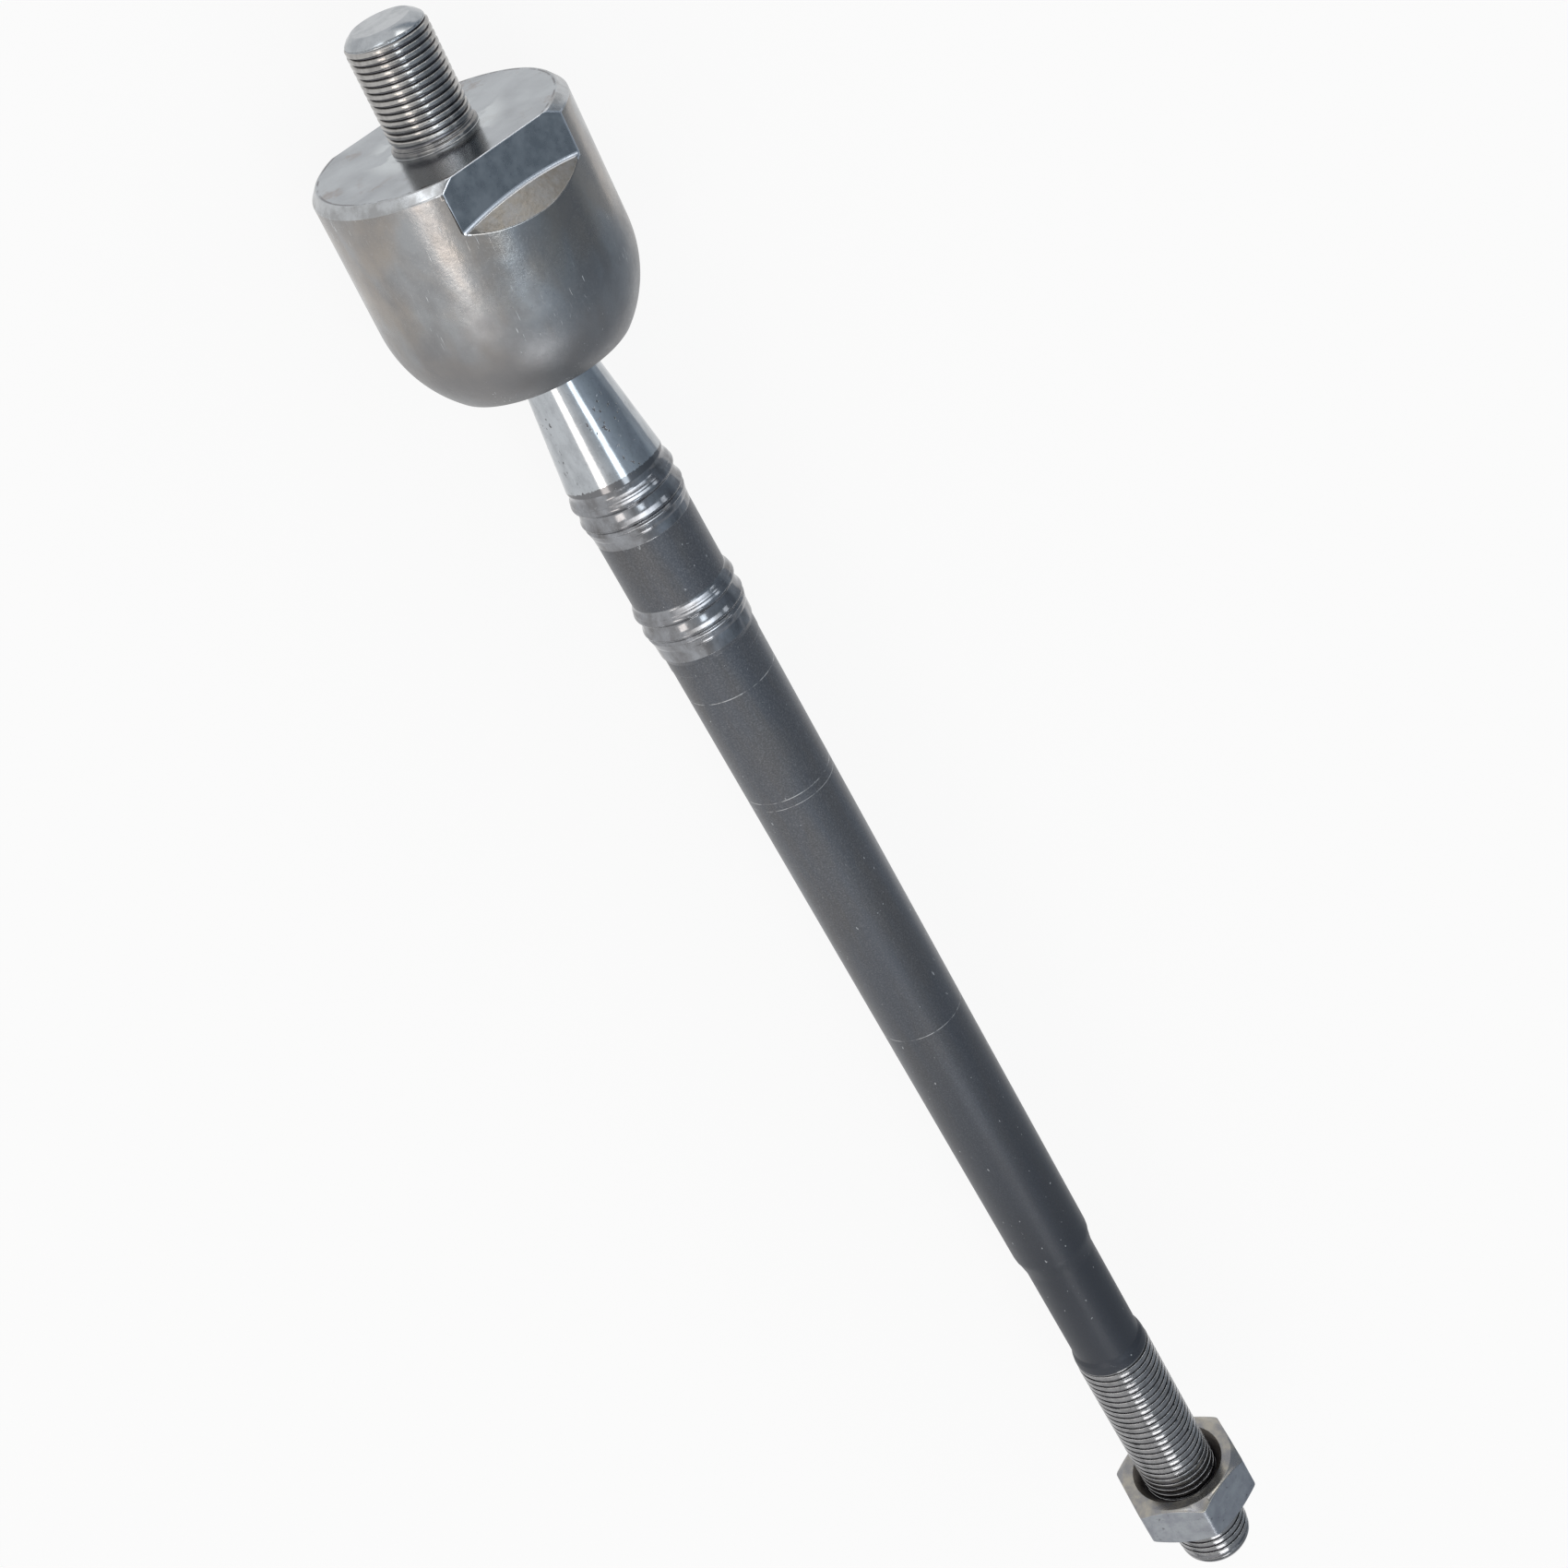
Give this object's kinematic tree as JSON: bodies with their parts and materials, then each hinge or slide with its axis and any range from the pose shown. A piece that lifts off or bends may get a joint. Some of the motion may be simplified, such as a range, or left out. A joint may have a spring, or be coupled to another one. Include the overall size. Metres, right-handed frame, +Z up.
{
  "type": "inner tie rod",
  "caption": "Steering inner tie rod: a threaded ball housing with wrench flats, a swivelling rod with ribbed collars, a threaded end and a jam nut.",
  "frame": {"origin": "on the housing's axis at the inner end of the rack stud's thread, 0.5 mm in front of the seating face", "axes": "+X along the housing's axis from the rack stud towards the outer end, +Z up as it lies in the picture, +Y across; at rest the rod is swung 3.5 degrees from +X, towards +Y and a little up"},
  "size_m": [0.3277, 0.0448, 0.0395],
  "materials": {
    "housing_steel": "turned steel with handling stains",
    "spring_steel": "blued spring steel",
    "seat_polymer": "natural acetal",
    "rod_steel": "dark drawn steel, bright at the neck and collars",
    "nut_zinc": "dull zinc plate"
  },
  "bodies": {
    "housing_body": {"housing": "housing_steel", "preload_disc": "spring_steel"},
    "seat_body": {"ball_seat": "seat_polymer"},
    "rod_body": {"tie_rod": "rod_steel"},
    "nut_body": {"jam_nut": "nut_zinc"}
  },
  "joints": [
    {"name": "ball_turn", "type": "hinge", "parent": "housing_body", "child": "seat_body", "pos_m": [0.022, 0, 0], "axis": [1, 0, 0], "continuous": true},
    {"name": "ball_swing", "type": "hinge", "parent": "seat_body", "child": "rod_body", "pos_m": [0.022, 0, 0], "axis": [0, -0.4695, 0.8829], "range_deg": [-28.48, 21.52]},
    {"name": "nut_travel", "type": "slide", "parent": "rod_body", "child": "nut_body", "axis": [0.9982, 0.0536, 0.0285], "range_m": [-0.032, 0.0115]}
  ]
}
